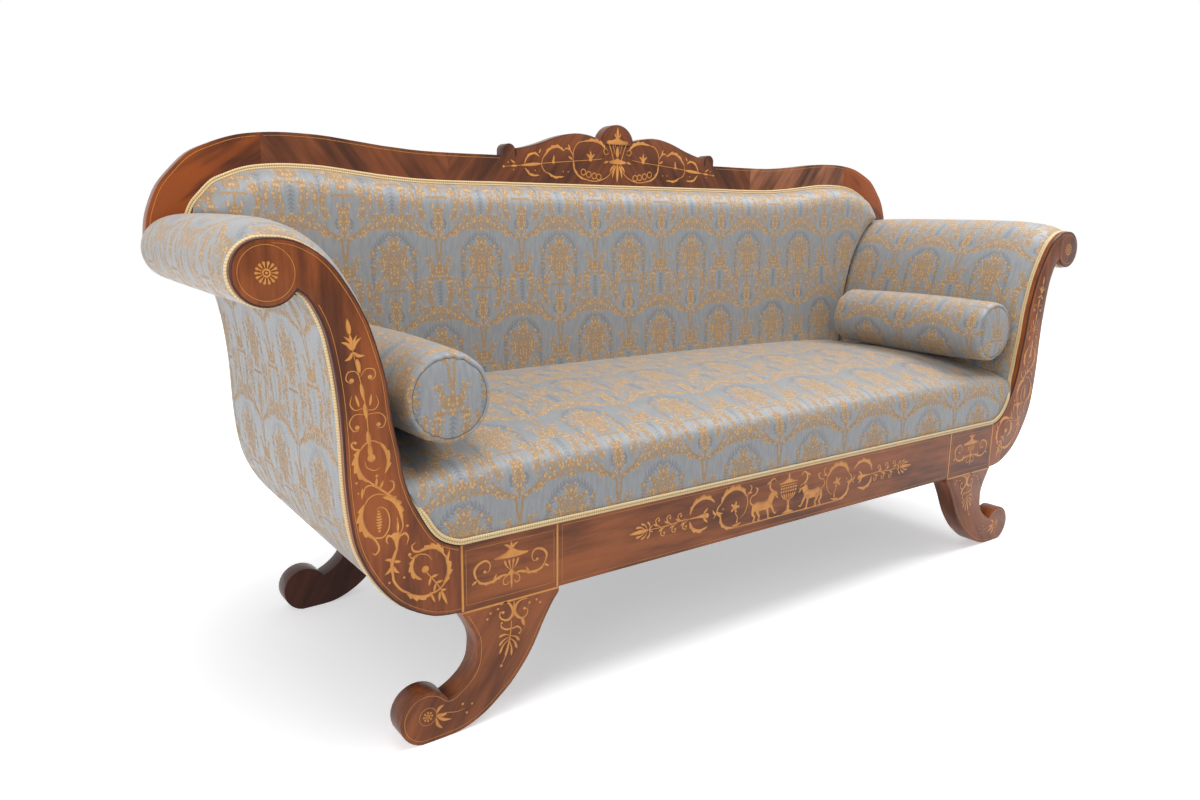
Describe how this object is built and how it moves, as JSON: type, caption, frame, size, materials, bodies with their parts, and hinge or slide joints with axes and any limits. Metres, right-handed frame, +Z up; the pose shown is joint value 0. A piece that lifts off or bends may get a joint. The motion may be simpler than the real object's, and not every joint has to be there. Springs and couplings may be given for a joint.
{
  "type": "scroll-arm sofa",
  "caption": "Long sofa with scrolled arms and legs, a shaped crested back, marquetry show wood, a sprung seat and loose bolsters, made for sitting or reclining.",
  "frame": {"origin": "middle of the footprint, on the floor", "axes": "+X to the viewer's right along the length, +Y to the back, +Z up"},
  "size_m": [2.195, 0.648, 1.0525],
  "materials": {
    "mahogany": "french polished veneer with light marquetry",
    "beech": "plain planed",
    "steel": "dull",
    "jute": "coarse weave",
    "hair": "curled hair under muslin",
    "gimp": "double cord",
    "black_cloth": "plain weave",
    "brocade": "satin ground with woven gold figures"
  },
  "bodies": {
    "sofa": {"front_rail": "mahogany", "die_block_left": "mahogany", "die_block_right": "mahogany", "side_rail_left": "beech", "side_rail_right": "beech", "back_seat_rail": "beech", "cross_rails": "beech", "corner_blocks": "beech", "corner_screws": "steel", "leg_dowels": "beech", "front_leg_left": "mahogany", "front_leg_right": "mahogany", "rear_leg_left": "mahogany", "rear_leg_right": "mahogany", "arm_facing_left": "mahogany", "arm_facing_right": "mahogany", "arm_front_post_left": "beech", "arm_front_post_right": "beech", "arm_rails_left": "beech", "arm_rails_right": "beech", "arm_roll_bar_left": "beech", "arm_roll_bar_right": "beech", "arm_webbing_left": "jute", "arm_webbing_right": "jute", "arm_stuffing_left": "hair", "arm_stuffing_right": "hair", "arm_cover_left": "brocade", "arm_cover_right": "brocade", "arm_outside_left": "brocade", "arm_outside_right": "brocade", "arm_gimp_left": "gimp", "arm_gimp_right": "gimp", "rear_post_left": "mahogany", "rear_post_right": "mahogany", "crest_rail": "mahogany", "pediment": "mahogany", "finial_block": "mahogany", "ear_blocks": "mahogany", "back_lower_rail": "beech", "back_uprights": "beech", "back_webbing": "jute", "back_stuffing": "hair", "back_cover": "brocade", "back_gimp": "gimp", "back_outside": "black_cloth", "seat_webbing": "jute", "seat_springs": "steel", "seat_hessian": "jute", "seat_stuffing": "hair", "seat_cover": "brocade", "seat_gimp": "gimp", "dust_cover": "black_cloth"},
    "bolster_left": {"bolster_core_left": "hair", "bolster_cover_left": "brocade"},
    "bolster_right": {"bolster_core_right": "hair", "bolster_cover_right": "brocade"}
  },
  "joints": [
    {"name": "bolster_left_lift", "type": "slide", "parent": "sofa", "child": "bolster_left", "axis": [0, 0, 1], "range_m": [0, 0.4]},
    {"name": "bolster_right_lift", "type": "slide", "parent": "sofa", "child": "bolster_right", "axis": [0, 0, 1], "range_m": [0, 0.4]}
  ]
}
